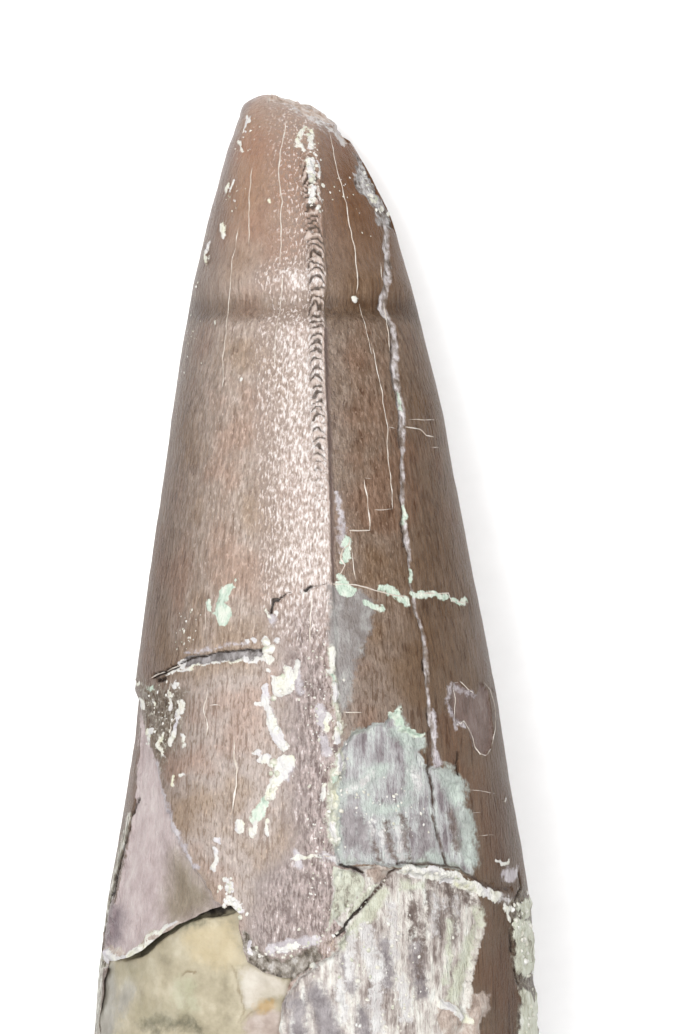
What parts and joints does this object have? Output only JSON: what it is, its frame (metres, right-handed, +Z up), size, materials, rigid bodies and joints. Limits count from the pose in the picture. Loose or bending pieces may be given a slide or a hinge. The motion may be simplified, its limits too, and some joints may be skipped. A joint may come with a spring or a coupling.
{
  "type": "fossil phytosaur tooth",
  "caption": "Fossil phytosaur tooth lying on its side: a blunt brown crown with a serrated ridge, cracks, flaked enamel and a siltstone-filled pulp cavity open at the broken base.",
  "frame": {"origin": "centre of the object's footprint, on the floor it rests on", "axes": "+Y along the tooth from the broken base to the tip, +Z up through the serrated upper face, +X to the right when looking down with the tip away"},
  "size_m": [0.0194, 0.0456, 0.0199],
  "materials": {
    "enamel": "satin",
    "siltstone": "matte"
  },
  "bodies": {
    "root": {"tooth": "enamel", "matrix_fill": "siltstone"}
  },
  "joints": []
}
